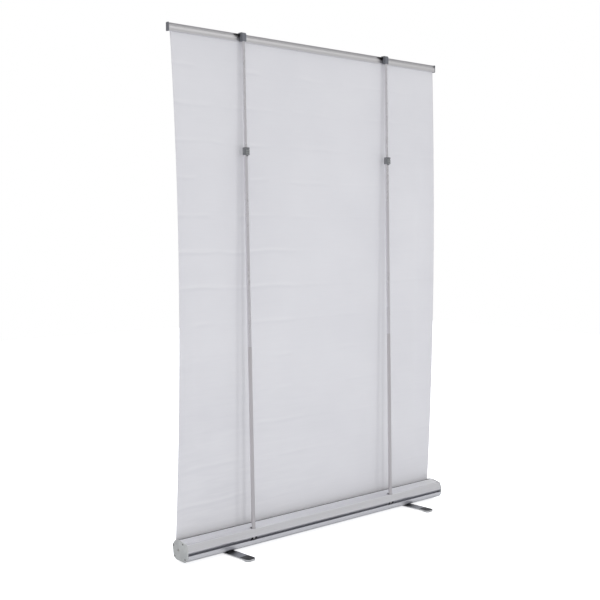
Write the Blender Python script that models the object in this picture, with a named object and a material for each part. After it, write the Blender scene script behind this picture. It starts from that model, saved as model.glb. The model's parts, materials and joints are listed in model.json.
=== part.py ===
# Roll-up banner stand, 1.5 m wide and 2.1 m tall, set up with its feet out and its poles raised.
# Metres, +Z up. The origin is on the floor, under the middle of the stand.
# The printed side of the banner looks along -Y, and the poles stand behind it on the +Y side.
# Blender 4.5: blender --background --python part.py
import math

import bmesh
import bpy
from mathutils import Matrix, Vector

# Driving dimensions
GAP = 0.0003                 # clearance between neighbouring pieces
BANNER_WIDTH = 1.495
BANNER_THICKNESS = 0.0006
BANNER_Y = -0.036            # plane of the hanging fabric
BANNER_TOP = 2.1050
PROFILE_HALF = 0.748         # half length of the cassette extrusion
CAP_THICKNESS = 0.0037
RAIL_HALF = 0.755
RAIL_CAP_THICKNESS = 0.004
RAIL_CAP_OVERHANG = 0.0018   # how far the moulded ends stand proud of the rail all round
RAIL_BOTTOM = 2.0955
RAIL_HEIGHT = 0.0305
RAIL_HALF_DEPTH = 0.008
ROLLER_Y = -0.012
ROLLER_Z = 0.052
ROLLER_RADIUS = 0.0213
ROLLER_WALL = 0.0014
ROLLER_HALF = 0.742
WOUND_RADIUS = 0.0234        # outside of the fabric still on the roller
WOUND_HALF = 0.7472
FELT_HALF = 0.747
FELT_THICKNESS = 0.0014
SPINDLE_RADIUS = 0.005
IDLER_RADIUS = 0.004
PIN_HEAD_RADIUS = 0.006      # ends of the spindle and the idler pin that show in the caps
SPRING_RADIUS = 0.0105
SPRING_WIRE = 0.0011
SPRING_TURNS = 12
SPRING_LENGTH = 0.105
POLE_X = 0.409
POLE_BASE_Y = 0.0378
POLE_BASE_Z = 0.0368
POLE_TOP_Y = -0.0162         # pole axis where it meets the rail
POLE_TOP_Z = 2.112
POLE_RADIUS = 0.008
POLE_WALL = 0.0011
UPPER_RADIUS = 0.0062
UPPER_WALL = 0.0010
PLUG_HEIGHT = 0.0040
SECTION_JOINT = 0.813        # along the pole, where its two lower sections plug together
CLAMP_BOTTOM = 1.602
CLAMP_TOP = 1.6330
CLAMP_MOUTH = 0.012          # the narrow top of the clamp that only the sliding tube passes
LEVER_PIN_S = 1.6290
LEVER_PIN_Y = 0.0115
LEVER_PIN_HOLE = 0.00125
UPPER_BOTTOM = 1.300
UPPER_TOP = 2.088
FOOT_X = 0.533
FOOT_TURN = math.radians(6.3)   # both feet stand a little askew when they are swung out
FOOT_HALF_LENGTH = 0.170
FOOT_HALF_WIDTH = 0.0245
FOOT_TIP_RADIUS = 0.018
FOOT_TOP = 0.0085
FOOT_BLADE = 0.0041
INSERT_START = 0.115         # from the bolt to the inner end of a tip insert
ROUND = 28                   # sides of a tube that shows
SMALL_ROUND = 18             # sides of a pin, bolt or plug

CAP_FACE = PROFILE_HALF + GAP + CAP_THICKNESS   # outer face of an end cap
POLE_LEAN = math.atan((POLE_BASE_Y - POLE_TOP_Y) / (POLE_TOP_Z - POLE_BASE_Z))
SCREW_PLACES = [(0.020, 0.0826), (0.0355, 0.024), (-0.0385, 0.022), (-0.047, 0.064)]


# ---------------------------------------------------------------- materials
def finish(name, colour, metallic, roughness):
    """One Principled material, shared by the pieces of the same finish."""
    material = bpy.data.materials.get(name)
    if material:
        return material
    material = bpy.data.materials.new(name)
    material.use_nodes = True
    shader = material.node_tree.nodes["Principled BSDF"]
    shader.inputs["Base Color"].default_value = (*colour, 1.0)
    shader.inputs["Metallic"].default_value = metallic
    shader.inputs["Roughness"].default_value = roughness
    material.diffuse_color = (*colour, 1.0)
    return material


def anodised():
    return finish("anodised_aluminium", (0.66, 0.67, 0.68), 0.9, 0.32)


def steel():
    return finish("zinc_plated_steel", (0.55, 0.55, 0.54), 0.95, 0.3)


def slate_plastic():
    return finish("slate_plastic", (0.10, 0.11, 0.125), 0.0, 0.45)


def black_plastic():
    return finish("black_plastic", (0.02, 0.02, 0.022), 0.0, 0.4)


def grey_cap():
    return finish("grey_cap_plastic", (0.42, 0.43, 0.42), 0.0, 0.5)


def felt():
    return finish("black_felt", (0.035, 0.035, 0.038), 0.0, 0.95)


def fabric():
    return finish("banner_fabric", (0.80, 0.80, 0.83), 0.0, 0.8)


# ---------------------------------------------------------------- shapes
def add(name, mesh, material, location=(0, 0, 0), rotation=(0, 0, 0), parent=None):
    """A named object of one mesh, shaded smooth where it is round."""
    mesh.name = name
    mesh.materials.clear()
    if material:
        mesh.materials.append(material)
    mesh.shade_smooth()
    mesh.set_sharp_from_angle(angle=math.radians(32))
    thing = bpy.data.objects.new(name, mesh)
    thing.location = location
    thing.rotation_euler = rotation
    thing.parent = parent
    bpy.context.scene.collection.objects.link(thing)
    return thing


def to_mesh(shape):
    """Faces turned outward, then a mesh."""
    bmesh.ops.recalc_face_normals(shape, faces=shape.faces)
    mesh = bpy.data.meshes.new("shape")
    shape.to_mesh(mesh)
    shape.free()
    return mesh


def loft(sections):
    """A closed solid through rings of the same number of points, with flat ends."""
    shape = bmesh.new()
    rings = [[shape.verts.new(point) for point in ring] for ring in sections]
    for lower, upper in zip(rings, rings[1:]):
        count = len(lower)
        for i in range(count):
            j = (i + 1) % count
            shape.faces.new((lower[i], lower[j], upper[j], upper[i]))
    shape.faces.new(rings[0])
    shape.faces.new(list(reversed(rings[-1])))
    return to_mesh(shape)


def along_x(outline, start, end):
    """An outline of (y, z) points drawn out from x = start to x = end."""
    return loft([[(x, y, z) for y, z in outline] for x in (start, end)])


def along_z(outline, bottom, top):
    """An outline of (x, y) points drawn out upward."""
    return loft([[(x, y, z) for x, y in outline] for z in (bottom, top)])


def along_y(outline, front, back):
    """An outline of (x, z) points drawn out rearward."""
    return loft([[(x, y, z) for x, z in outline] for y in (front, back)])


def turned(profile, sides=SMALL_ROUND, closed=True):
    """A profile of (radius, height) points turned about Z. A radius of 0 closes an end."""
    shape = bmesh.new()
    rings = []
    for radius, height in profile:
        if radius == 0:
            rings.append([shape.verts.new((0, 0, height))])
            continue
        angles = [2 * math.pi * i / sides for i in range(sides)]
        rings.append([shape.verts.new((radius * math.cos(a), radius * math.sin(a), height)) for a in angles])
    pairs = list(zip(rings, rings[1:]))
    if closed:
        pairs.append((rings[-1], rings[0]))
    for lower, upper in pairs:
        for i in range(sides):
            j = (i + 1) % sides
            below = [lower[k % len(lower)] for k in (i, j)]
            above = [upper[k % len(upper)] for k in (j, i)]
            shape.faces.new(list(dict.fromkeys(below + above)))
    return to_mesh(shape)


def pipe(outer, inner, bottom, top, sides=ROUND):
    return turned([(outer, bottom), (outer, top), (inner, top), (inner, bottom)], sides)


def rod(radius, bottom, top, sides=SMALL_ROUND):
    return turned([(0, bottom), (radius, bottom), (radius, top), (0, top)], sides, closed=False)


def circle(centre, radius, sides):
    """Points of a circle in a plane."""
    angles = [2 * math.pi * i / sides for i in range(sides)]
    return [(centre[0] + radius * math.cos(a), centre[1] + radius * math.sin(a)) for a in angles]


def rounded_box(half_x, low_y, high_y, radius, steps=5):
    """Plan outline of a rectangle with round corners."""
    centres = [(half_x - radius, high_y - radius), (radius - half_x, high_y - radius),
               (radius - half_x, low_y + radius), (half_x - radius, low_y + radius)]
    outline = []
    for corner, (cx, cy) in enumerate(centres):
        for step in range(steps + 1):
            angle = math.pi / 2 * (corner + step / steps)
            outline.append((cx + radius * math.cos(angle), cy + radius * math.sin(angle)))
    return outline


def soften(thing, width, segments=1):
    """Breaks the sharp edges of a moulded or machined piece."""
    edge = thing.modifiers.new("edge", "BEVEL")
    edge.width = width
    edge.segments = segments
    edge.limit_method = "ANGLE"
    edge.angle_limit = math.radians(40)
    return thing


def join_meshes(meshes):
    """Several separate closed shapes in one mesh, used as one cutting tool."""
    shape = bmesh.new()
    for mesh in meshes:
        shape.from_mesh(mesh)
    joined = bpy.data.meshes.new("tool")
    shape.to_mesh(joined)
    shape.free()
    return joined


def tool(thing, mesh, operation="DIFFERENCE"):
    """Cuts or trims a piece with a hidden tool body that shares the piece's place."""
    cutter = bpy.data.objects.new(thing.name + "_tool", mesh)
    cutter.location = thing.location
    cutter.rotation_euler = thing.rotation_euler
    cutter.parent = thing.parent
    cutter.hide_render = True
    cutter.display_type = "WIRE"
    bpy.context.scene.collection.objects.link(cutter)
    cut = thing.modifiers.new(operation.lower(), "BOOLEAN")
    cut.operation = operation
    cut.object = cutter
    return thing


def moved(mesh, offset=(0, 0, 0), turn=None):
    """The same mesh, turned and shifted in place."""
    matrix = Matrix.Translation(Vector(offset))
    if turn:
        matrix = matrix @ Matrix.Rotation(turn[0], 4, turn[1])
    mesh.transform(matrix)
    return mesh


QUARTER = math.pi / 2


def rod_x(radius, start, end, y, z, sides=SMALL_ROUND):
    return moved(rod(radius, start, end, sides), (0, y, z), (QUARTER, "Y"))


# ---------------------------------------------------------------- cassette
LAND_FRONT = (-0.0310, 0.0865)   # the strip of the top that lies right behind the fabric
LAND_BACK = (-0.0095, 0.0905)
RIDGE = (-0.0045, 0.0932)        # from here the ribbed top falls to the bead
BEAD_FRONT = (0.0410, 0.0832)


def slope_height(y):
    """Height of the sloping top of the cassette between its ridge and its rear bead."""
    fall = (RIDGE[1] - BEAD_FRONT[1]) / (BEAD_FRONT[0] - RIDGE[0])
    return RIDGE[1] - (y - RIDGE[0]) * fall


def ribbed_slope():
    """Fine lengthwise grooves along the sloping top."""
    points = [RIDGE]
    pitch, width, depth = 0.0062, 0.0016, 0.0007
    for i in range(6):
        y = 0.0015 + i * pitch
        points += [(y, slope_height(y)), (y + 0.25 * width, slope_height(y) - depth)]
        points += [(y + 0.75 * width, slope_height(y) - depth), (y + width, slope_height(y + width))]
    return points


def cassette_section():
    """The open section of the extrusion: slot lip, ribbed top, rear groove with a foot lip, front wall."""
    land = [(-0.0325, 0.0823), (-0.0325, 0.0853), LAND_FRONT, LAND_BACK, (-0.0078, 0.0931), (-0.0060, 0.0935)]
    bead = [(0.0396, 0.0829), (0.0406, 0.0843), (0.0422, 0.0850), (0.0438, 0.0850), (0.0460, 0.0835)]
    rear = [(0.0473, 0.0806), (0.0546, 0.0580), (0.0552, 0.0558), (0.0546, 0.0542), (0.0515, 0.0500)]
    trough = [(0.0486, 0.0448), (0.0472, 0.0400), (0.0478, 0.0367), (0.0502, 0.0357), (0.0518, 0.0390)]
    lip = [(0.0532, 0.0402), (0.0548, 0.0394), (0.0546, 0.0345), (0.0526, 0.0275)]
    heel = [(0.0486, 0.0212), (0.0420, 0.0154), (0.0340, 0.0114), (0.0280, 0.0100)]
    base = [(-0.0270, 0.0100), (-0.0335, 0.0116), (-0.0435, 0.0168)]
    front = [(-0.0474, 0.0220), (-0.0544, 0.0645), (-0.0542, 0.0672), (-0.0528, 0.0692)]
    front_lip = [(-0.0414, 0.0818), (-0.0400, 0.0824), (-0.0393, 0.0812), (-0.0398, 0.0798)]
    front_boss = [(-0.0494, 0.0695), (-0.0446, 0.0690), (-0.0428, 0.0670), (-0.0428, 0.0610)]
    inner_front = [(-0.0446, 0.0590), (-0.0513, 0.0585), (-0.0462, 0.0280), (-0.0400, 0.0282)]
    front_rib = [(-0.0345, 0.0262), (-0.0335, 0.0140), (-0.0310, 0.0120)]
    inner_base = [(0.0285, 0.0120), (0.0290, 0.0250), (0.0318, 0.0290), (0.0385, 0.0298)]
    inner_heel = [(0.0425, 0.0260), (0.0458, 0.0224), (0.0505, 0.0300), (0.0518, 0.0340)]
    ledge = [(0.0225, 0.0340), (0.0225, 0.0485), (0.0245, 0.0485), (0.0245, 0.0360), (0.0452, 0.0360)]
    inner_rear = [(0.0450, 0.0400), (0.0465, 0.0455), (0.0495, 0.0510), (0.0527, 0.0560), (0.0450, 0.0800)]
    top_boss = [(0.0430, 0.0806), (0.0245, 0.0846), (0.0245, 0.0790), (0.0155, 0.0790), (0.0155, 0.0866)]
    inner_land = [(-0.0055, 0.0911), (-0.0085, 0.0885), (-0.0295, 0.0847), (-0.0295, 0.0823)]
    outside = land + ribbed_slope() + bead + rear + trough + lip + heel + base + front + front_lip
    front_inside = front_boss + inner_front + front_rib + inner_base + inner_heel
    rear_inside = ledge + inner_rear + top_boss + inner_land
    return outside + front_inside + rear_inside


def cassette():
    """Aluminium extrusion, holed for the poles, the foot bolts and the cap screws."""
    body = add("housing_profile", along_x(cassette_section(), -PROFILE_HALF, PROFILE_HALF), anodised())
    window = [(0.0260, 0.0362), (0.0466, 0.0362), (0.0466, 0.0405), (0.0490, 0.0420),
              (0.0570, 0.0440), (0.0570, 0.0530), (0.0260, 0.0530)]
    shoulder = rounded_box(0.0105, 0.0225, 0.0452, 0.007)
    cuts = []
    for side in (-1, 1):
        pole = side * POLE_X
        cuts.append(along_x(window, pole - 0.0090, pole + 0.0215))
        cuts.append(along_z([(x + pole, y) for x, y in shoulder], 0.062, 0.100))
        cuts.append(moved(rod(0.0046, 0.005, 0.0128, 20), (side * FOOT_X, 0, 0)))
        for y, z in SCREW_PLACES:
            end = side * PROFILE_HALF
            cuts.append(rod_x(0.0018, end - 0.014, end + 0.014, y, z, 8))
    return tool(body, join_meshes(cuts))


def slot_felt():
    """Dark felt strip stuck on the land. The back of the fabric brushes past it."""
    slope = (LAND_BACK[1] - LAND_FRONT[1]) / (LAND_BACK[0] - LAND_FRONT[0])
    edges = [(y, LAND_FRONT[1] + (y - LAND_FRONT[0]) * slope) for y in (-0.0305, -0.0105)]
    outline = [(y, z + GAP) for y, z in edges] + [(y, z + FELT_THICKNESS) for y, z in reversed(edges)]
    add("slot_felt", along_x(outline, -FELT_HALF, FELT_HALF), felt())


def cap_outline():
    """Eight-sided end of the cassette with eased corners."""
    return [(-0.0345, 0.0890), (-0.0325, 0.0896), (-0.0080, 0.0940), (-0.0040, 0.0941), (0.0444, 0.0857),
            (0.0478, 0.0826), (0.0556, 0.0605), (0.0560, 0.0570), (0.0556, 0.0380), (0.0532, 0.0275),
            (0.0490, 0.0208), (0.0422, 0.0148), (0.0342, 0.0108), (0.0285, 0.0094), (-0.0273, 0.0094),
            (-0.0338, 0.0110), (-0.0440, 0.0163), (-0.0481, 0.0218), (-0.0551, 0.0645), (-0.0549, 0.0675),
            (-0.0534, 0.0697)]


def end_cap(side, word):
    """Grey moulded cap. A hole in its middle shows the spindle, and a small one below takes a stop pin."""
    inner = side * (PROFILE_HALF + GAP)
    outer = inner + side * CAP_THICKNESS
    low, high = sorted((inner, outer))
    cap = add("end_cap_" + word, along_x(cap_outline(), low, high), grey_cap())
    soften(cap, 0.0008)
    cuts = [rod_x(0.0064, low - 0.01, high + 0.01, ROLLER_Y, ROLLER_Z),
            rod_x(0.0021, low - 0.01, high + 0.01, ROLLER_Y - 0.001, ROLLER_Z - 0.013, 12),
            rod_x(0.0016, outer - 0.0008, outer + 0.0008, ROLLER_Y - 0.001, ROLLER_Z + 0.0135, 12)]
    seat = [(0, -0.01), (0.0020, -0.01), (0.0020, -0.0014), (0.0038, -0.0014), (0.0038, 0.01), (0, 0.01)]
    for y, z in SCREW_PLACES:
        hole = turned(seat, 12, closed=False)
        cuts.append(moved(hole, (outer, y, z), (side * QUARTER, "Y")))
    return tool(cap, join_meshes(cuts))


def cap_screw(side, word, number, place):
    """Pan-head screw with a cross recess, driven into the cassette along X."""
    profile = [(0, -0.0125), (0.0009, -0.0125), (0.0014, -0.0105), (0.0014, -0.0012), (0.0034, -0.0012),
               (0.0034, -0.0002), (0.0024, 0.0009), (0, 0.0012)]
    mesh = turned(profile, 12, closed=False)
    name = f"cap_screw_{word}_{number}"
    screw = add(name, mesh, steel(), (side * CAP_FACE, place[0], place[1]), (0, side * QUARTER, 0))
    slit = [(-0.0004, 0.0003), (0.0004, 0.0003), (0.0004, 0.002), (-0.0004, 0.002)]
    for angle in (0, QUARTER):
        tool(screw, moved(along_x(slit, -0.0017, 0.0017), turn=(angle, "Z")))


# ---------------------------------------------------------------- roller
def on_roller(name, mesh, material, x=0.0, turn=QUARTER):
    return add(name, mesh, material, (x, ROLLER_Y, ROLLER_Z), (0, turn, 0))


def roller():
    """Aluminium tube between two plugs, with the rest of the fabric wound on it."""
    tube = pipe(ROLLER_RADIUS, ROLLER_RADIUS - ROLLER_WALL, -ROLLER_HALF, ROLLER_HALF, 36)
    on_roller("roller_tube", tube, anodised())
    on_roller("wound_banner", pipe(WOUND_RADIUS, ROLLER_RADIUS + GAP, -WOUND_HALF, WOUND_HALF, 40), fabric())
    seat, flange, rim, tail = ROLLER_RADIUS - ROLLER_WALL - GAP, ROLLER_RADIUS - 0.0002, 0.0030, -0.030
    for side, word, bore in ((1, "left", SPINDLE_RADIUS), (-1, "right", IDLER_RADIUS)):
        hole = bore + GAP
        profile = [(seat, tail), (seat, GAP), (flange, GAP), (flange, rim), (hole, rim), (hole, tail)]
        on_roller("roller_plug_" + word, turned(profile), black_plastic(), side * ROLLER_HALF, side * QUARTER)


def pin_profile(radius, tail):
    """Shaft with a short head, whose end face is at 0."""
    head, shoulder, chamfer = PIN_HEAD_RADIUS, -0.0046, 0.0004
    return [(0, tail), (radius, tail), (radius, shoulder), (head, shoulder), (head, -chamfer),
            (head - chamfer, 0), (0, 0)]


def spindle():
    """Slotted shaft that winds and holds the return spring. It turns with a screwdriver for more tension."""
    shaft = turned(pin_profile(SPINDLE_RADIUS, -0.165), closed=False)
    shaft = on_roller("tension_spindle", shaft, steel(), CAP_FACE - 0.0008)
    slot = [(-0.0014, -0.0030), (0.0014, -0.0030), (0.0014, 0.002), (-0.0014, 0.002)]
    tool(shaft, along_y(slot, -0.007, 0.007))
    anchor = pipe(0.0165, SPINDLE_RADIUS + GAP, -0.010, 0.0, SMALL_ROUND)
    on_roller("spring_anchor", anchor, black_plastic(), CAP_FACE - 0.1528)


def torsion_spring():
    """Helical spring round the spindle, from its anchor to the left plug."""
    steps_per_turn, sides = 10, 5
    count = SPRING_TURNS * steps_per_turn
    sections = []
    for i in range(count + 1):
        angle = 2 * math.pi * i / steps_per_turn
        rise = SPRING_LENGTH * i / count
        centre = Vector((SPRING_RADIUS * math.cos(angle), SPRING_RADIUS * math.sin(angle), rise))
        outward = Vector((math.cos(angle), math.sin(angle), 0))
        ring = []
        for k in range(sides):
            turn = 2 * math.pi * k / sides
            offset = outward * math.cos(turn) + Vector((0, 0, 1)) * math.sin(turn)
            ring.append(centre + offset * SPRING_WIRE)
        sections.append(ring)
    on_roller("torsion_spring", loft(sections), steel(), CAP_FACE - 0.1518)


def idler_pin():
    """Steel stub in the right cap. The roller's other end runs on it."""
    stub = turned(pin_profile(IDLER_RADIUS, -0.034), closed=False)
    on_roller("idler_pin", stub, steel(), 0.0008 - CAP_FACE, -QUARTER)


# ---------------------------------------------------------------- banner and top rail
def banner():
    """Fabric from the roller up to the rail, and the strip that keeps its top in the rail."""
    half = BANNER_WIDTH / 2
    low, high = BANNER_Y - BANNER_THICKNESS / 2, BANNER_Y + BANNER_THICKNESS / 2
    sheet = [(low, ROLLER_Z), (high, ROLLER_Z), (high, BANNER_TOP), (low, BANNER_TOP)]
    add("banner", along_x(sheet, -half, half), fabric())
    strip = [(-0.0040, 0.0), (0.0040, 0.0), (0.0040, 0.0022), (0.0030, 0.0036), (-0.0030, 0.0036),
             (-0.0040, 0.0022)]
    outline = [(BANNER_Y + y, BANNER_TOP + GAP + z) for y, z in strip]
    add("banner_strip", along_x(outline, -half, half), black_plastic())


def rail_section():
    """Rail section about the fabric's plane: clip groove behind, hook groove on top, slot below."""
    depth, height = RAIL_HALF_DEPTH, RAIL_HEIGHT
    rear = [(0.0009, 0.0), (depth - 0.0018, 0.0), (depth - 0.0004, 0.0006), (depth, 0.0020)]
    groove = [(depth, 0.0206), (depth - 0.0048, 0.0212), (depth - 0.0048, 0.0284), (depth - 0.0004, 0.0288)]
    top = [(depth - 0.0012, height), (0.0008, height), (0.0008, 0.0250), (-0.0044, 0.0250), (-0.0044, height)]
    front = [(0.0010 - depth, height), (-depth, height - 0.0012), (-depth, 0.0020), (0.0004 - depth, 0.0006)]
    slot = [(0.0018 - depth, 0.0), (-0.0009, 0.0), (-0.0009, 0.0040), (-0.0062, 0.0060), (-0.0062, 0.0234)]
    back = [(0.0014, 0.0234), (0.0014, 0.0196), (0.0062, 0.0188), (0.0062, 0.0060), (0.0009, 0.0040)]
    outline = rear + groove + top + front + slot + back
    return [(BANNER_Y + y, RAIL_BOTTOM + z) for y, z in outline]


def rail():
    """Top extrusion and its two moulded ends."""
    add("rail_profile", along_x(rail_section(), -RAIL_HALF, RAIL_HALF), anodised())
    over = RAIL_CAP_OVERHANG
    low, high = RAIL_BOTTOM - over, RAIL_BOTTOM + RAIL_HEIGHT + over
    outline = [(BANNER_Y + y, z) for y, z in rounded_box(RAIL_HALF_DEPTH + 0.0006, low, high, 0.003, 4)]
    for side, word in ((1, "left"), (-1, "right")):
        inner = side * (RAIL_HALF + GAP)
        start, end = sorted((inner, inner + side * RAIL_CAP_THICKNESS))
        soften(add("rail_cap_" + word, along_x(outline, start, end), slate_plastic()), 0.0006)


# ---------------------------------------------------------------- poles
def pole_tubes(word, axis):
    """Two joined tubes standing in the cassette. The thinner one slides in their top."""
    bore = POLE_RADIUS - POLE_WALL
    seat, chamfer, stem = bore - GAP, 0.0012, 0.022
    plug = [(0, 0), (POLE_RADIUS - chamfer, 0), (POLE_RADIUS, chamfer), (POLE_RADIUS, PLUG_HEIGHT),
            (seat, PLUG_HEIGHT), (seat, stem), (0, stem)]
    add("pole_plug_" + word, turned(plug, closed=False), black_plastic(), parent=axis)
    lower = pipe(POLE_RADIUS, bore, PLUG_HEIGHT + GAP, SECTION_JOINT)
    add("lower_tube_" + word, lower, anodised(), parent=axis)
    sleeve = pipe(seat, seat - 0.0011, -0.036, 0.036, SMALL_ROUND)
    add("pole_joint_" + word, sleeve, steel(), (0, 0, SECTION_JOINT), parent=axis)
    middle = pipe(POLE_RADIUS, bore, SECTION_JOINT + 0.0008, CLAMP_TOP - CLAMP_MOUTH)
    add("middle_tube_" + word, middle, anodised(), parent=axis)


def clamp(word, axis):
    """Collar that grips the sliding tube, closed by a ribbed flip lever on a cross pin."""
    half, back, ear_back, ear_top = 0.0104, 0.0096, 0.0138, CLAMP_TOP - 0.001
    ear_low = LEVER_PIN_S - 0.0035
    collar = along_z(rounded_box(half, -back, back, 0.003, 3), CLAMP_BOTTOM, CLAMP_TOP)
    block = add("clamp_body_" + word, collar, slate_plastic(), parent=axis)
    root = back - 0.0011
    ear = [(root, ear_low), (ear_back, ear_low), (ear_back, ear_top), (root, ear_top)]
    for side in (1, -1):
        tool(block, along_x(ear, *sorted((side * 0.0072, side * 0.0102))), "UNION")
    floor, over, sill, sky = 0.0088, 0.02, ear_low - 0.0001, CLAMP_TOP + 0.02
    relief = [(floor, sill), (over, sill), (over, sky), (floor, sky)]
    tool(block, along_x(relief, -0.0071, 0.0071))
    step = CLAMP_TOP - CLAMP_MOUTH + 0.0005
    tool(block, rod(POLE_RADIUS + GAP, CLAMP_BOTTOM - over, step))
    tool(block, rod(UPPER_RADIUS + 0.0004, step - 0.0001, sky))
    tool(block, rod_x(LEVER_PIN_HOLE, -over, over, LEVER_PIN_Y, LEVER_PIN_S, 12))
    pin_place = (0, LEVER_PIN_Y, LEVER_PIN_S)
    pin = moved(rod(LEVER_PIN_HOLE - GAP, -half, half, 12), turn=(QUARTER, "Y"))
    add("lever_pin_" + word, pin, steel(), pin_place, parent=axis)
    lever(word, axis, pin_place)


def lever(word, axis, place):
    """Flip lever with its origin on its pin: neck, ribbed plate and a thumb tongue below."""
    neck, wide, low, tongue = 0.0069, 0.0102, -0.0275, -0.0330
    outline = [(-neck, 0.0), (-neck, -0.0042), (-wide, -0.0056), (-wide, low), (-0.0040, low - 0.0008),
               (-0.0026, tongue), (0.0026, tongue), (0.0040, low - 0.0008), (wide, low), (wide, -0.0056),
               (neck, -0.0042), (neck, 0.0)]
    slab = along_y(outline, -0.00155, 0.00155)
    plate = add("clamp_lever_" + word, slab, slate_plastic(), place, parent=axis)
    tool(plate, moved(rod(0.0022, -neck, neck, 16), turn=(QUARTER, "Y")), "UNION")
    for z in (-0.0260, -0.0188, -0.0116):
        rib = [(0.0008, z), (0.0036, z + 0.0006), (0.0036, z + 0.0034), (0.0008, z + 0.0042)]
        tool(plate, along_x(rib, -0.0090, 0.0090), "UNION")
    tool(plate, moved(rod(LEVER_PIN_HOLE, -0.02, 0.02, 12), turn=(QUARTER, "Y")))


def upper_pole(word, side, axis):
    """Sliding tube with a plastic guide at its foot and a hook on its head."""
    bore = UPPER_RADIUS - UPPER_WALL
    add("upper_tube_" + word, pipe(UPPER_RADIUS, bore, UPPER_BOTTOM, UPPER_TOP), anodised(), parent=axis)
    wide, seat = 0.0065, bore - GAP
    guide = [(0, -0.004), (wide, -0.004), (wide, -GAP), (seat, -GAP), (seat, 0.014), (0, 0.014)]
    add("tube_guide_" + word, turned(guide, closed=False), black_plastic(), (0, 0, UPPER_BOTTOM), parent=axis)
    hook(word, side, axis)


def hook(word, side, axis):
    """Slate clip behind the rail. Its arm reaches over the rail and its lip drops into the top groove."""
    x = side * POLE_X
    low, top = RAIL_BOTTOM - 0.001, RAIL_BOTTOM + RAIL_HEIGHT
    rail_back = BANNER_Y + RAIL_HALF_DEPTH + 0.0005
    arm, lip, back, crown = BANNER_Y - 0.0036, BANNER_Y - 0.0004, -0.0085, top + 0.0042
    dome = [(back, low + 0.002), (back, top - 0.0040), (back - 0.0012, top - 0.0002),
            (back - 0.0042, top + 0.0028), (back - 0.0085, crown)]
    inside = [(arm, crown), (arm, top - 0.0045), (lip, top - 0.0045), (lip, top + 0.0004),
              (rail_back, top + 0.0004)]
    outline = [(rail_back, low), (back - 0.001, low)] + dome + inside
    clip = add("hook_clip_" + word, along_x(outline, -0.0100, 0.0100), slate_plastic(), (x, 0, 0))
    soften(clip, 0.0006)
    socket = rod(UPPER_RADIUS + GAP, UPPER_TOP - 0.05, UPPER_TOP + GAP)
    socket.transform(axis.matrix_basis)
    tool(clip, moved(socket, (-x, 0, 0)))
    near, far = (0.0103, 0.0032, top - 0.0092), (0.0340, 0.0008, top - 0.0042)
    taper = []
    for along, depth, bottom in (near, far):
        wedge_top = top - 0.002
        taper.append([(along, rail_back, bottom), (along, rail_back + depth, bottom),
                      (along, rail_back + depth, wedge_top), (along, rail_back, wedge_top)])
    add("hook_wedge_" + word, loft(taper), black_plastic(), (x, 0, 0))


def pole(side, word):
    """Everything of one pole, on an empty that carries its lean."""
    axis = bpy.data.objects.new("pole_axis_" + word, None)
    axis.location = (side * POLE_X, POLE_BASE_Y, POLE_BASE_Z)
    axis.rotation_euler = (POLE_LEAN, 0, 0)
    bpy.context.scene.collection.objects.link(axis)
    pole_tubes(word, axis)
    clamp(word, axis)
    upper_pole(word, side, axis)


# ---------------------------------------------------------------- feet
def foot_side():
    """Side view of a foot: flat on top, thin in the middle, deep at its two toes."""
    blade, end, edge, toe = FOOT_TOP - FOOT_BLADE, FOOT_HALF_LENGTH, 0.0006, 0.003
    under = [(-end, 0.0012), (toe - end, 0), (-0.150, 0), (-0.132, blade)]
    over = [(end, FOOT_TOP - edge), (end - edge, FOOT_TOP), (edge - end, FOOT_TOP), (-end, FOOT_TOP - edge)]
    return under + [(-y, z) for y, z in reversed(under)] + over


def tip_outline(inset, start):
    """Plan outline of the dark insert in a foot's tip."""
    half, end, radius = FOOT_HALF_WIDTH - inset, FOOT_HALF_LENGTH - inset, FOOT_TIP_RADIUS - inset
    corner = [(half - radius + radius * math.cos(a), end - radius + radius * math.sin(a))
              for a in (QUARTER * i / 5 for i in range(6))]
    return [(half, start)] + corner + [(-x, y) for x, y in reversed(corner)] + [(-half, start)]


def foot(side, word):
    """Swinging foot on its bolt, with black inserts in its tips, a washer and a nut."""
    place = (side * FOOT_X, 0, 0)
    bar = along_x(foot_side(), -FOOT_HALF_WIDTH, FOOT_HALF_WIDTH)
    bar = add("foot_" + word, bar, anodised(), place, (0, 0, FOOT_TURN))
    plan = rounded_box(FOOT_HALF_WIDTH, -FOOT_HALF_LENGTH, FOOT_HALF_LENGTH, FOOT_TIP_RADIUS)
    tool(bar, along_z(plan, -0.01, 0.03), "INTERSECT")
    recess_floor, rim = FOOT_TOP - 0.0015, 0.0022
    cuts = [rod(0.0045, -0.01, 0.03, 20)]
    for turn in (0, math.pi):
        cuts.append(moved(along_z(tip_outline(rim, INSERT_START), recess_floor, 0.02), turn=(turn, "Z")))
    tool(bar, join_meshes(cuts))
    for end, turn in (("rear", 0), ("front", math.pi)):
        insert = along_z(tip_outline(rim + GAP, INSERT_START + GAP), recess_floor + GAP, FOOT_TOP)
        add(f"foot_insert_{word}_{end}", insert, black_plastic(), place, (0, 0, turn + FOOT_TURN))
    head, shank, head_top, end = 0.0085, 0.0040, FOOT_TOP - FOOT_BLADE - GAP, 0.0222
    bolt = [(0, 0.0010), (0.0062, 0.0010), (head, 0.0026), (head, head_top), (shank, head_top),
            (shank, end - 0.0007), (0.0034, end), (0, end)]
    screw = add("foot_bolt_" + word, turned(bolt, closed=False), steel(), place)
    tool(screw, along_z(circle((0, 0), 0.0029, 6), 0.0, 0.0032))
    washer = pipe(0.0120, 0.0045, FOOT_TOP + 0.0002, 0.0098, SMALL_ROUND)
    add("foot_washer_" + word, washer, black_plastic(), place)
    nut = add("foot_nut_" + word, along_z(circle((0, 0), 0.0085, 6), 0.0123, 0.0188), steel(), place)
    tool(nut, rod(0.0043, 0.0, 0.03, 20))


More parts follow.
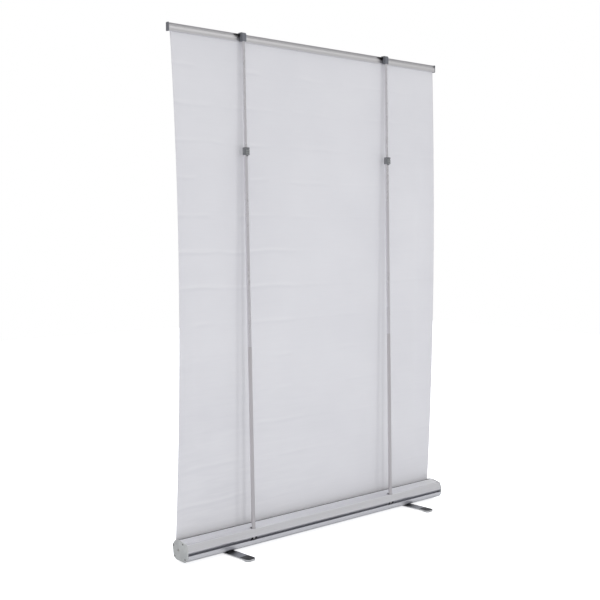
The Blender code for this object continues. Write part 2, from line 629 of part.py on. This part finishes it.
# ---------------------------------------------------------------- the stand
def clear_scene():
    for thing in list(bpy.data.objects):
        bpy.data.objects.remove(thing, do_unlink=True)


def build():
    clear_scene()
    cassette()
    slot_felt()
    for side, word in ((1, "left"), (-1, "right")):
        end_cap(side, word)
        for number, place in enumerate(SCREW_PLACES, 1):
            cap_screw(side, word, number, place)
    roller()
    spindle()
    torsion_spring()
    idler_pin()
    banner()
    rail()
    for side, word in ((1, "left"), (-1, "right")):
        pole(side, word)
        foot(side, word)


build()
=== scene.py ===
import json
import math

import bmesh
import bpy
from mathutils import Matrix, Vector, noise


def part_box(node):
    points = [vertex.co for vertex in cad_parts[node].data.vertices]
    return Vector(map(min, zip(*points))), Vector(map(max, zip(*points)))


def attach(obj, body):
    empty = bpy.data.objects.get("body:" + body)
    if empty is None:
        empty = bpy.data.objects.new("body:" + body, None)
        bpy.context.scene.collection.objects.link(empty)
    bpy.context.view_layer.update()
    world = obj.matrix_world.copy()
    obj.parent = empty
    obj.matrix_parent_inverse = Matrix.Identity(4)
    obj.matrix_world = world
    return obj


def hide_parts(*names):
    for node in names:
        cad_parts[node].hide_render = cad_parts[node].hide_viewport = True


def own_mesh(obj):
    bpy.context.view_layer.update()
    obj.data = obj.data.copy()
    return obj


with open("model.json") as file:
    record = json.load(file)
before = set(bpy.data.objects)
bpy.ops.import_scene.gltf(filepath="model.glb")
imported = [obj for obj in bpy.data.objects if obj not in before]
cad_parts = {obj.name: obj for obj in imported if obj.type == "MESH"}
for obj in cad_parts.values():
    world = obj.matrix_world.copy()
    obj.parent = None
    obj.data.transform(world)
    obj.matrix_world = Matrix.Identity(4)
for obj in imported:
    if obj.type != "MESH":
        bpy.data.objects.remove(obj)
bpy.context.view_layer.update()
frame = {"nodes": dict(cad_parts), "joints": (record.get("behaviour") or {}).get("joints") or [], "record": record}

# Roll-up banner stand: a fabric banner pulled up out of an aluminium cassette and hung from two poles.
# Metres, +Z up, floor at z = 0. "left" is the +X end. The poles stand on the +Y side of the banner.


# ---------------------------------------------------------------- cassette
# The body of the stand: one aluminium extrusion, silver anodised, with a finely ribbed top, a groove along
# its back and a foot lip below. It is drawn lengthwise through a die, so every fine line runs along X, and
# it is then drilled for the poles, the foot bolts and the cap screws.
def shader_of(name):
    """A new node material, with its tree and its Principled shader."""
    material = bpy.data.materials.new(name)
    material.use_nodes = True
    return material, material.node_tree, material.node_tree.nodes["Principled BSDF"]


def grain(tree, scale, detail=2.0, turn=(0, 0, 0), distortion=0.0):
    """Noise over the piece's own metres. A scale of (2, 900, 900) makes streaks that run along X."""
    nodes, links = tree.nodes, tree.links
    place = nodes.new("ShaderNodeTexCoord")
    mapping = nodes.new("ShaderNodeMapping")
    mapping.inputs["Scale"].default_value = scale
    mapping.inputs["Rotation"].default_value = turn
    texture = nodes.new("ShaderNodeTexNoise")
    texture.inputs["Scale"].default_value = 1.0
    texture.inputs["Detail"].default_value = detail
    texture.inputs["Distortion"].default_value = distortion
    links.new(place.outputs["Object"], mapping.inputs["Vector"])
    links.new(mapping.outputs["Vector"], texture.inputs["Vector"])
    return texture.outputs["Fac"]


def between(tree, value, low, high, start=0.3, end=0.7):
    """Spreads the values that lie from start to end over the range from low to high."""
    spread = tree.nodes.new("ShaderNodeMapRange")
    spread.inputs["From Min"].default_value = start
    spread.inputs["From Max"].default_value = end
    spread.inputs["To Min"].default_value = low
    spread.inputs["To Max"].default_value = high
    tree.links.new(value, spread.inputs["Value"])
    return spread.outputs["Result"]


def maths(tree, operation, first, second):
    """One sum, difference, product or power of two values."""
    node = tree.nodes.new("ShaderNodeMath")
    node.operation = operation
    for socket, value in zip(node.inputs, (first, second)):
        if isinstance(value, (int, float)):
            socket.default_value = value
        else:
            tree.links.new(value, socket)
    return node.outputs[0]


def shared(tree, first, second, share):
    """Two textures in one: the first has the share and the second the rest."""
    main = maths(tree, "MULTIPLY", first, share)
    rest = maths(tree, "MULTIPLY", second, 1 - share)
    return maths(tree, "ADD", main, rest)


def tones(tree, value, dark, light):
    """A colour between two, chosen by a texture."""
    mix = tree.nodes.new("ShaderNodeMix")
    mix.data_type = "RGBA"
    mix.inputs["A"].default_value = (*dark, 1)
    mix.inputs["B"].default_value = (*light, 1)
    tree.links.new(value, mix.inputs["Factor"])
    return mix.outputs["Result"]


def relief(tree, height, strength, depth, under=None):
    """Bump from a height, laid over another bump."""
    bump = tree.nodes.new("ShaderNodeBump")
    bump.inputs["Strength"].default_value = strength
    bump.inputs["Distance"].default_value = depth
    tree.links.new(height, bump.inputs["Height"])
    if under:
        tree.links.new(under, bump.inputs["Normal"])
    return bump.outputs["Normal"]


def hollows(tree, reach):
    """Ambient occlusion: 1 on open faces, falling to 0 deep in grooves and corners narrower than the reach. It
    masks painted shade.
    """
    painted_occlusion = tree.nodes.new("ShaderNodeAmbientOcclusion")
    painted_occlusion.samples = 8
    painted_occlusion.inputs["Distance"].default_value = reach
    return painted_occlusion.outputs["AO"]


def drawn_aluminium(name, silver, run, lean=0.0, rough=0.32, reach=0.012, open_from=0.75, depths=0.3):
    """Silver anodised aluminium. run is the axis that its die lines follow, 0 for X, 1 for Y or 2 for Z.
    Grooves narrower than reach get painted shade from ambient occlusion: depths is the share of the tone left
    at their bottom, and open_from how open a face is where it gets the full tone."""
    material, tree, shader = shader_of(name)
    fine_lines = [620, 620, 620]
    fine_lines[run] = 1.6
    broad_bands = [85, 85, 85]
    broad_bands[run] = 0.7
    lines = grain(tree, fine_lines, 3, turn=(-lean, 0, 0))
    bands = grain(tree, broad_bands, 2, turn=(-lean, 0, 0))
    streak = shared(tree, lines, bands, 0.6)
    darker = [0.93 * c for c in silver]
    brighter = [min(1, 1.05 * c) for c in silver]
    colour = tones(tree, between(tree, streak, 0, 1), darker, brighter)
    # Painted shade: the colour is darkened where ambient occlusion finds a groove or a corner.
    open_faces = between(tree, hollows(tree, reach), 0.0, 1.0, 0.15, open_from)
    painted_occlusion = tones(tree, open_faces, (depths, depths, 1.06 * depths), (1, 1, 1))
    colour_with_painted_shade = tree.nodes.new("ShaderNodeMix")
    colour_with_painted_shade.data_type = "RGBA"
    colour_with_painted_shade.blend_type = "MULTIPLY"
    colour_with_painted_shade.inputs["Factor"].default_value = 1.0
    tree.links.new(colour, colour_with_painted_shade.inputs["A"])
    tree.links.new(painted_occlusion, colour_with_painted_shade.inputs["B"])
    tree.links.new(colour_with_painted_shade.outputs["Result"], shader.inputs["Base Color"])
    handling = grain(tree, (7, 7, 7), 5, distortion=0.6)
    handled = between(tree, handling, 0, 0.09, 0.5, 0.72)
    dullness = maths(tree, "ADD", between(tree, streak, rough - 0.05, rough + 0.05), handled)
    tree.links.new(dullness, shader.inputs["Roughness"])
    tree.links.new(relief(tree, lines, 0.25, 0.00006), shader.inputs["Normal"])
    shader.inputs["Metallic"].default_value = 1.0
    return material


def mesh_from(shape, name):
    """Turns a finished shape into a mesh."""
    mesh = bpy.data.meshes.new(name)
    shape.to_mesh(mesh)
    shape.free()
    return mesh


def eased(node, edge=0.0, corner=60):
    """One welded skin of a CAD solid, with a small round on every edge sharper than the corner angle."""
    shape = bmesh.new()
    shape.from_mesh(frame["nodes"][node].data)
    bmesh.ops.remove_doubles(shape, verts=shape.verts, dist=0.000002)
    bmesh.ops.dissolve_limit(shape, angle_limit=math.radians(0.4), verts=shape.verts, edges=shape.edges)
    if edge:
        sharpest = math.radians(corner)
        hard = [e for e in shape.edges if len(e.link_faces) == 2 and e.calc_face_angle() > sharpest]
        bmesh.ops.bevel(shape, geom=hard, offset=edge, segments=2, profile=0.5, affect="EDGES")
    return mesh_from(shape, node)


bodies = frame["record"]["behaviour"]["bodies"]
body_of = {node: body for body, nodes in bodies.items() for node in nodes}


def shown(name, mesh, material, node, sharp=32):
    """A finished piece in its place. It stands for its CAD node and rides on that node's body."""
    mesh.materials.clear()
    mesh.materials.append(material)
    mesh.shade_smooth()
    mesh.set_sharp_from_angle(angle=math.radians(sharp))
    piece = bpy.data.objects.new(name, mesh)
    bpy.context.scene.collection.objects.link(piece)
    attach(piece, body_of[node])
    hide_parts(node)
    return piece


# Its back groove, slot and other recesses get painted shade from ambient occlusion, down to 0.45 of the tone.
cassette_silver = drawn_aluminium("cassette_silver", (0.86, 0.86, 0.89), run=0, reach=0.024, open_from=0.82,
                                  depths=0.45)
extrusion = eased("housing_profile")
shown("cassette_extrusion", extrusion, cassette_silver, "housing_profile")


# ---------------------------------------------------------------- slot shade strip
# A dark strip of felt along the extrusion's top, right behind the slot: painted shade, a dark piece laid where
# the fold between the banner and the extrusion's top lies in shade.
def painted_shade_felt(name):
    """Matted short fibres that stand up a little and take almost all the light: a dark material for painted shade.
    """
    material, tree, shader = shader_of(name)
    fibres = grain(tree, (900, 1500, 1500), 4, distortion=1.5)
    worn = grain(tree, (14, 60, 60), 3)
    shade = between(tree, shared(tree, fibres, worn, 0.6), 0, 1)
    tree.links.new(tones(tree, shade, (0.10, 0.10, 0.11), (0.20, 0.20, 0.215)), shader.inputs["Base Color"])
    tree.links.new(relief(tree, fibres, 0.7, 0.0005), shader.inputs["Normal"])
    shader.inputs["Roughness"].default_value = 0.95
    shader.inputs["Sheen Weight"].default_value = 0.25
    shader.inputs["Specular IOR Level"].default_value = 0.15
    return material


slot_painted_shade = painted_shade_felt("slot_painted_shade_fibres")
shown("slot_painted_shade_strip", eased("slot_felt", 0.0004, corner=40), slot_painted_shade, "slot_felt")


# ---------------------------------------------------------------- end caps
# Two light grey moulded caps close the extrusion's ends. Each is held by four cross-head screws in bosses of
# the extrusion. The hole in its middle shows the spindle or the idler pin.
def moulded_plastic(name, colour, rough):
    """Injection moulded plastic: an even fine pebble, duller where it is handled."""
    material, tree, shader = shader_of(name)
    pebbles = grain(tree, (1400, 1400, 1400), 1.5)
    blush = grain(tree, (26, 26, 26), 4, distortion=0.4)
    darker = [0.9 * c for c in colour]
    lighter = [min(1, 1.12 * c) for c in colour]
    tree.links.new(tones(tree, between(tree, blush, 0, 1), darker, lighter), shader.inputs["Base Color"])
    tree.links.new(between(tree, blush, rough - 0.08, rough + 0.08), shader.inputs["Roughness"])
    tree.links.new(relief(tree, pebbles, 0.35, 0.00012), shader.inputs["Normal"])
    shader.inputs["Specular IOR Level"].default_value = 0.4
    return material


def plated(name, colour, rough):
    """Zinc plated steel: faint cloudy tint and fine tumbling marks."""
    material, tree, shader = shader_of(name)
    cloud = grain(tree, (140, 140, 140), 3, distortion=1.2)
    marks = grain(tree, (2600, 2600, 2600), 2)
    warm = [colour[0] * 1.06, colour[1] * 1.02, colour[2] * 0.94]
    tree.links.new(tones(tree, between(tree, cloud, 0, 1), colour, warm), shader.inputs["Base Color"])
    tree.links.new(between(tree, cloud, rough - 0.06, rough + 0.08), shader.inputs["Roughness"])
    tree.links.new(relief(tree, marks, 0.15, 0.00005), shader.inputs["Normal"])
    shader.inputs["Metallic"].default_value = 1.0
    return material


cap_grey = moulded_plastic("cap_grey", (0.54, 0.55, 0.545), 0.5)
# The screws' steel is painted dark: painted shade that stands in for the recesses around their heads.
screw_painted_shade_steel = plated("screw_painted_shade_steel", (0.20, 0.20, 0.20), 0.34)
for side in ("left", "right"):
    cap = "end_cap_" + side
    shown(cap + "_moulding", eased(cap, 0.0003), cap_grey, cap)
    for number in range(1, 5):
        screw = f"cap_screw_{side}_{number}"
        shown(screw + "_pan_head", eased(screw), screw_painted_shade_steel, screw, sharp=50)


# ---------------------------------------------------------------- roller
# The banner winds onto an aluminium tube that turns on two black plugs. A torsion spring inside, held by the
# slotted spindle at the left end, winds it in. The right end runs on a plain steel stub.
def tube(outer, inner, length):
    """A cut length of tube about Z, with its end edges broken."""
    end = length / 2
    broken = 0.0002
    sides = 64
    outline = [(outer - broken, -end), (outer, broken - end), (outer, end - broken), (outer - broken, end),
               (inner + broken, end), (inner, end - broken), (inner, broken - end), (inner + broken, -end)]
    turns = [2 * math.pi * i / sides for i in range(sides)]
    shape = bmesh.new()
    rings = []
    for radius, height in outline:
        rings.append([shape.verts.new((radius * math.cos(a), radius * math.sin(a), height)) for a in turns])
    for ring, following in zip(rings, rings[1:] + rings[:1]):
        for i in range(sides):
            j = (i + 1) % sides
            shape.faces.new((ring[i], ring[j], following[j], following[i]))
    bmesh.ops.recalc_face_normals(shape, faces=shape.faces)
    return mesh_from(shape, "tube")


roller_low, roller_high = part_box("roller_tube")
roller_centre = (roller_low + roller_high) / 2
roller_radius = (roller_high.z - roller_low.z) / 2
roller_wall = 0.0014
roller = tube(roller_radius, roller_radius - roller_wall, 2 * roller_high.x)
roller.transform(Matrix.Rotation(math.pi / 2, 4, "Y"))
roller.transform(Matrix.Translation((0, roller_centre.y, roller_centre.z)))
shown("roller_tube_drawn", roller, cassette_silver, "roller_tube")
black_nylon = moulded_plastic("black_nylon", (0.012, 0.012, 0.013), 0.42)
bright_steel = plated("bright_steel", (0.56, 0.56, 0.55), 0.28)
for side in ("left", "right"):
    plug = "roller_plug_" + side
    shown(plug + "_moulding", eased(plug, 0.0003), black_nylon, plug)
shown("spindle_with_slot", eased("tension_spindle", 0.0001), bright_steel, "tension_spindle")
shown("spring_anchor_collar", eased("spring_anchor", 0.0005), black_nylon, "spring_anchor")
shown("idler_stub", eased("idler_pin", 0.0001), bright_steel, "idler_pin")
shown("return_spring", eased("torsion_spring"), bright_steel, "torsion_spring", sharp=75)


# ---------------------------------------------------------------- banner
# White woven polyester, unprinted, 1.495 m wide. Its lower end is fixed to the roller and its top is held in
# the rail by a plastic strip. Pulled tight from below, its free side edges draw in and curl back, and it
# keeps faint level marks, one for each turn that it spent on the roller.
wound_low, wound_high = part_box("wound_banner")
wind_length = math.pi * (wound_high.z - wound_low.z)


def painted_crease_shading(tree, place):
    """Painted light and shade of the creases: faint pairs of light and dark level lines, one for each turn on the
    roller, and faint tilted streaks low down. They are fainter toward the cloth's right edge."""
    lines = 0.0
    for phase, weight in ((0.0, 0.75), (0.5, -0.75)):
        wave = tree.nodes.new("ShaderNodeTexWave")
        wave.bands_direction = "Z"
        wave.inputs["Scale"].default_value = math.pi / (10 * wind_length)
        wave.inputs["Distortion"].default_value = 0.9
        wave.inputs["Detail Scale"].default_value = 1.4
        wave.inputs["Phase Offset"].default_value = phase
        tree.links.new(place.outputs["Object"], wave.inputs["Vector"])
        narrow = maths(tree, "POWER", wave.outputs["Fac"], 40)
        lines = maths(tree, "ADD", lines, maths(tree, "MULTIPLY", narrow, weight))
    here_and_there = between(tree, grain(tree, (3.5, 1, 2.2), 3), 0, 1, 0.44, 0.62)
    lines = maths(tree, "MULTIPLY", lines, here_and_there)
    split = tree.nodes.new("ShaderNodeSeparateXYZ")
    tree.links.new(place.outputs["Object"], split.inputs["Vector"])
    low_down = between(tree, split.outputs["Z"], 2.2, 0, 0.1, 1.0)
    # Painted light and shade of faint tilted creases, strongest low down.
    threads = maths(tree, "SUBTRACT", grain(tree, (4.5, 4, 44), 3, turn=(0, 0.10, 0), distortion=0.6), 0.5)
    low_crease_light = maths(tree, "MULTIPLY", threads, low_down)
    toward_left = between(tree, split.outputs["X"], 0.25, 1.0, -0.1, 0.35)
    return maths(tree, "MULTIPLY", maths(tree, "ADD", lines, low_crease_light), toward_left)


def woven_polyester(name):
    """White cloth of fine crossed threads, some of them thicker, with the light and shade of its winding creases
    painted into its colour.
    """
    material, tree, shader = shader_of(name)
    place = tree.nodes.new("ShaderNodeTexCoord")
    crossed = 1.0
    for direction in ("X", "Z"):
        wave = tree.nodes.new("ShaderNodeTexWave")
        wave.bands_direction = direction
        wave.inputs["Scale"].default_value = 300
        wave.inputs["Distortion"].default_value = 0.5
        wave.inputs["Detail Scale"].default_value = 4
        tree.links.new(place.outputs["Object"], wave.inputs["Vector"])
        crossed = maths(tree, "MULTIPLY", crossed, wave.outputs["Fac"])
    slubs = grain(tree, (12, 12, 420), 3)
    clouds = grain(tree, (2.2, 2.2, 3.0), 3)
    plain = between(tree, shared(tree, slubs, clouds, 0.2), 0, 1)
    shade = maths(tree, "ADD", plain, painted_crease_shading(tree, place))
    tree.links.new(tones(tree, shade, (0.715, 0.71, 0.74), (0.765, 0.76, 0.785)), shader.inputs["Base Color"])
    weave = relief(tree, crossed, 0.25, 0.00012)
    tree.links.new(relief(tree, slubs, 0.12, 0.0002, weave), shader.inputs["Normal"])
    shader.inputs["Roughness"].default_value = 0.78
    shader.inputs["Sheen Weight"].default_value = 0.12
    shader.inputs["Specular IOR Level"].default_value = 0.25
    return material


cloth = woven_polyester("banner_polyester")
cloth_low, cloth_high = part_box("banner")
cloth_plane = (cloth_low.y + cloth_high.y) / 2
cloth_half = (cloth_high.x - cloth_low.x) / 2
cloth_thickness = 0.0005
slot_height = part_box("housing_profile")[1].z
rail_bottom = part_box("rail_profile")[0].z
curl_back, curl_width = 0.032, 0.095
draw_in = 0.0085
ripple_depth, crease_depth, mark_depth = 0.0024, 0.00055, 0.0005


def cloth_point(across, height):
    """Where a point of the stretched cloth lies. across is -1 to 1, from its right edge to its left. Between
    the slot and the rail the cloth is free: its edges draw in and curl back, and its face ripples."""
    free = (height - slot_height) / (rail_bottom - slot_height)
    slack = math.sin(math.pi * free) ** 0.85 if 0 < free < 1 else 0.0
    from_edge = (1 - abs(across)) * cloth_half
    curl = max(0.0, 1 - from_edge / curl_width)
    x = across * (cloth_half - draw_in * slack * abs(across) ** 6)
    y = cloth_plane + curl_back * slack * curl ** 1.9
    ripple = ripple_depth * noise.noise(Vector((x * 1.7, 0, height * 0.9)))
    crease = crease_depth * noise.noise(Vector((x * 2.5 + 4, 3, height * 14 + x * 1.2)))
    turns = height / wind_length + 0.12 * noise.noise(Vector((x * 2.2, 5, height * 0.6)))
    patch = max(0.0, noise.noise(Vector((x * 1.3 + 9, 1, height * 2))) + 0.4)
    mark = mark_depth * math.exp(-((turns % 1 - 0.5) / 0.075) ** 2) * patch
    return x, y + (ripple + crease + mark) * slack, height


columns, rows = 150, 280
edge_share = 0.35  # how far the columns crowd toward the two side edges
bottom, top = cloth_low.z, cloth_high.z
shape = bmesh.new()
grid = []
for row in range(rows + 1):
    height = bottom + (top - bottom) * row / rows
    line = []
    for column in range(columns + 1):
        even = 2 * column / columns - 1
        across = math.sin(even * math.pi / 2) * edge_share + even * (1 - edge_share)
        line.append(shape.verts.new(cloth_point(across, height)))
    grid.append(line)
for lower, upper in zip(grid, grid[1:]):
    for i in range(columns):
        shape.faces.new((lower[i + 1], lower[i], upper[i], upper[i + 1]))
banner = shown("banner_cloth", mesh_from(shape, "banner_cloth"), cloth, "banner", sharp=80)
both_faces = banner.modifiers.new("thickness", "SOLIDIFY")
both_faces.thickness = cloth_thickness
both_faces.offset = 0
slide = next(joint for joint in frame["joints"] if joint["name"] == "height_slide")
slide_axis = Vector(slide["axis"])
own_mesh(banner)
shown("wound_cloth", eased("wound_banner"), cloth, "wound_banner")
shown("top_edge_strip", eased("banner_strip"), black_nylon, "banner_strip")


# ---------------------------------------------------------------- top rail
# Aluminium extrusion, silver anodised, that holds the banner's top edge. A groove along its back takes the
# clips' wedges, one on its top takes their hooks, and slate caps are pressed into its ends.
# Its grooves get painted shade from ambient occlusion, so the rear groove shows as a dark strip.
rail_silver = drawn_aluminium("rail_silver", (0.785, 0.775, 0.79), run=0, reach=0.010)
slate = moulded_plastic("slate_plastic_moulded", (0.165, 0.17, 0.19), 0.38)
shown("rail_extrusion", eased("rail_profile"), rail_silver, "rail_profile")
for side in ("left", "right"):
    cap = "rail_cap_" + side
    shown(cap + "_moulding", eased(cap, 0.0005), slate, cap)


# ---------------------------------------------------------------- poles
# Two leaning poles of drawn aluminium tube: two sections plugged together over a sleeve, and a thinner one
# that slides in their top for the height. A black plug at the bottom stands on the cassette's lip.
pole_lean = math.atan2(-slide_axis.y, slide_axis.z)
# Both tube finishes get painted shade from ambient occlusion where they run into plugs, clamps and the cassette,
# weaker on the lower tubes.
pole_silver = drawn_aluminium("pole_silver", (0.75, 0.735, 0.765), run=2, lean=pole_lean,
                              rough=0.28, depths=0.6)
lower_pole_silver = drawn_aluminium("lower_pole_silver", (0.66, 0.635, 0.65), run=2, lean=pole_lean,
                                    rough=0.34, depths=0.9)
pole_radius, pole_wall = 0.008, 0.0011
upper_radius, upper_wall = 0.0062, 0.0010


def pole_tube(node, radius, wall):
    """The CAD tube's length and place, rounder than its solid and with its ends broken."""
    low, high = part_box(node)
    length = (high.z - low.z - 2 * radius * math.sin(pole_lean)) / math.cos(pole_lean)
    mesh = tube(radius, radius - wall, length)
    mesh.transform(Matrix.Translation((low + high) / 2) @ Matrix.Rotation(pole_lean, 4, "X"))
    return mesh


sections = (("lower_tube_", pole_radius, pole_wall, lower_pole_silver),
            ("middle_tube_", pole_radius, pole_wall, pole_silver),
            ("upper_tube_", upper_radius, upper_wall, pole_silver))
for side in ("left", "right"):
    for section, radius, wall, silver in sections:
        node = section + side
        shown(node + "_drawn", pole_tube(node, radius, wall), silver, node)
    plug, sleeve, guide = "pole_plug_" + side, "pole_joint_" + side, "tube_guide_" + side
    shown(plug + "_moulding", eased(plug), black_nylon, plug)
    shown(sleeve + "_sleeve", eased(sleeve), bright_steel, sleeve)
    shown(guide + "_moulding", eased(guide), black_nylon, guide)


# ---------------------------------------------------------------- clamps
# A slate collar on the top of each middle tube grips the sliding tube. Its ribbed flip lever turns on a steel
# cross pin and presses the collar shut. The crests of its three ribs are lighter: a painted highlight where they
# catch the light from above.
clamp_slate = moulded_plastic("clamp_slate", (0.20, 0.205, 0.215), 0.40)
rib_crest_highlight = moulded_plastic("clamp_rib_crest_painted_highlight", (0.31, 0.32, 0.315), 0.38)
outward = Vector((0, math.cos(pole_lean), math.sin(pole_lean)))
crest_depth = 0.0009
for side in ("left", "right"):
    collar, lever, pin = "clamp_body_" + side, "clamp_lever_" + side, "lever_pin_" + side
    shown("clamp_" + side + "_collar", eased(collar, 0.0003), clamp_slate, collar)
    flip = shown("clamp_" + side + "_flip_lever", eased(lever, 0.0003), clamp_slate, lever)
    flip.data.materials.append(rib_crest_highlight)
    # The outermost faces, the rib crests, take the lighter material: painted highlight.
    outermost = max(vertex.co.dot(outward) for vertex in flip.data.vertices)
    for face in flip.data.polygons:
        face.material_index = int(outermost - face.center.dot(outward) < crest_depth)
    shown("clamp_" + side + "_pin", eased(pin), bright_steel, pin)


# ---------------------------------------------------------------- hooks
# A slate clip on each pole's head hooks over the rail, and a black wedge beside it sits in the rail's rear groove.
for side in ("left", "right"):
    clip, wedge = "hook_clip_" + side, "hook_wedge_" + side
    shown("hook_" + side + "_moulding", eased(clip, 0.0002), slate, clip)
    shown("hook_" + side + "_wedge", eased(wedge, 0.0002), black_nylon, wedge)


# ---------------------------------------------------------------- feet
# Two aluminium feet swing out from under the cassette on a bolt each, thin in the middle and deep at their
# round tips, which carry black inserts. A plastic washer lets each foot turn, and a nut holds it. Their level
# tops are painted darker grey, a painted reflection of dark surroundings, and their corners get painted shade.
foot_silver = drawn_aluminium("foot_silver", (0.72, 0.725, 0.73), run=1, rough=0.30)
foot_top_painted_reflection = drawn_aluminium("foot_top_painted_dark_reflection", (0.38, 0.385, 0.41), run=1, rough=0.42, reach=0.004, depths=0.8)
nearly_level = 0.9
fixings = (("foot_bolt_", bright_steel, "plated_steel"), ("foot_nut_", bright_steel, "plated_steel"),
           ("foot_washer_", black_nylon, "black_plastic"))
for side in ("left", "right"):
    foot = "foot_" + side
    bar = shown(foot + "_bar", eased(foot, 0.0003), foot_silver, foot)
    # Faces that look straight up take the darker grey: a painted dark reflection.
    bar.data.materials.append(foot_top_painted_reflection)
    for face in bar.data.polygons:
        face.material_index = int(face.normal.z > nearly_level)
    for end in ("rear", "front"):
        insert = f"foot_insert_{side}_{end}"
        shown(insert + "_pad", eased(insert, 0.0003), black_nylon, insert)
    for fixing, finish, slot in fixings:
        node = fixing + side
        shown(node + "_fixing", eased(node, 0.0002), finish, node)


# ---------------------------------------------------------------- studio
# A pale floor, even light all round that grows toward the top, and three soft lamps on the pole side: two
# that face the back of the banner, and a low one for the cassette. The backdrop is plain white.
world = bpy.data.worlds.new("studio")
bpy.context.scene.world = world
world.use_nodes = True
sky = world.node_tree
direction = sky.nodes.new("ShaderNodeTexCoord")
split = sky.nodes.new("ShaderNodeSeparateXYZ")
sky.links.new(direction.outputs["Generated"], split.inputs["Vector"])
horizon, high_up, overhead = 0.5, 0.93, 0.97
even = between(sky, split.outputs["Z"], 0.58, 0.98, horizon, high_up)
top_light = between(sky, split.outputs["Z"], 0.0, 1.2, high_up, overhead)
around = sky.nodes["Background"]
around.inputs["Color"].default_value = (1, 1, 1, 1)
sky.links.new(maths(sky, "ADD", even, top_light), around.inputs["Strength"])
backdrop = sky.nodes.new("ShaderNodeBackground")
backdrop.inputs["Color"].default_value = (1, 1, 1, 1)
rays = sky.nodes.new("ShaderNodeLightPath")
pick = sky.nodes.new("ShaderNodeMixShader")
sky.links.new(rays.outputs["Is Camera Ray"], pick.inputs["Fac"])
sky.links.new(around.outputs["Background"], pick.inputs[1])
sky.links.new(backdrop.outputs["Background"], pick.inputs[2])
sky.links.new(pick.outputs["Shader"], sky.nodes["World Output"].inputs["Surface"])
bpy.context.scene.view_settings.view_transform = "Standard"

floor_half, floor_drop = 8.0, 0.001
shape = bmesh.new()
bmesh.ops.create_grid(shape, x_segments=1, y_segments=1, size=floor_half)
floor = bpy.data.objects.new("floor", mesh_from(shape, "floor"))
floor.location = (0, 0, -floor_drop)
bpy.context.scene.collection.objects.link(floor)

# Seen directly the floor is nearly as white as the backdrop. Polished metal mirrors it greyer, like a room's.
floor_white, tree, shader = shader_of("floor_white")
seen = tree.nodes.new("ShaderNodeLightPath")
pale = tones(tree, grain(tree, (1.5, 1.5, 1.5)), (0.84, 0.86, 0.90), (0.86, 0.88, 0.92))
mirrored = tree.nodes.new("ShaderNodeMix")
mirrored.data_type = "RGBA"
mirrored.inputs["B"].default_value = (0.42, 0.43, 0.45, 1)
tree.links.new(seen.outputs["Is Glossy Ray"], mirrored.inputs["Factor"])
tree.links.new(pale, mirrored.inputs["A"])
tree.links.new(mirrored.outputs["Result"], shader.inputs["Base Color"])
to_camera = maths(tree, "MULTIPLY", seen.outputs["Is Camera Ray"], 0.75)
to_metal = maths(tree, "MULTIPLY", seen.outputs["Is Glossy Ray"], 0.24)
tree.links.new(maths(tree, "ADD", to_camera, to_metal), shader.inputs["Emission Strength"])
shader.inputs["Emission Color"].default_value = (1, 1, 1, 1)
shader.inputs["Roughness"].default_value = 0.9
shader.inputs["Specular IOR Level"].default_value = 0.1
floor.data.materials.append(floor_white)


def lamp(name, place, aim, size, power):
    """A square soft lamp in metres and watts, pointed at a place."""
    light = bpy.data.lights.new(name, "AREA")
    light.shape = "SQUARE"
    light.size = size
    light.energy = power
    stand = bpy.data.objects.new(name, light)
    stand.location = place
    stand.rotation_euler = (Vector(aim) - Vector(place)).to_track_quat("-Z", "Y").to_euler()
    stand.visible_camera = False
    stand.visible_glossy = False
    bpy.context.scene.collection.objects.link(stand)


lamp("key", (-1.3, 4.0, 1.7), (0, 0, 1.2), 0.8, 17)
lamp("low", (0.5, 3.4, 0.30), (0, 0, 0.15), 0.8, 7)
lamp("second", (1.0, 4.2, 1.7), (0, 0, 1.2), 0.45, 14)

lens = bpy.data.cameras.new("camera")
lens.lens = 57.7
lens.sensor_width = 36
lens.shift_y = 0.0358
camera = bpy.data.objects.new("camera", lens)
eye = Vector((2.8088, 3.1773, 1.3260))
yaw, pitch = 0.702, 0.093
forward = Vector((-math.sin(yaw) * math.cos(pitch), -math.cos(yaw) * math.cos(pitch), -math.sin(pitch)))
rightward = Vector((-math.cos(yaw), math.sin(yaw), 0))
upward = rightward.cross(forward)
turn = Matrix((rightward, upward, -forward)).transposed().to_4x4()
camera.matrix_world = Matrix.Translation(eye) @ turn
bpy.context.scene.collection.objects.link(camera)
bpy.context.scene.camera = camera
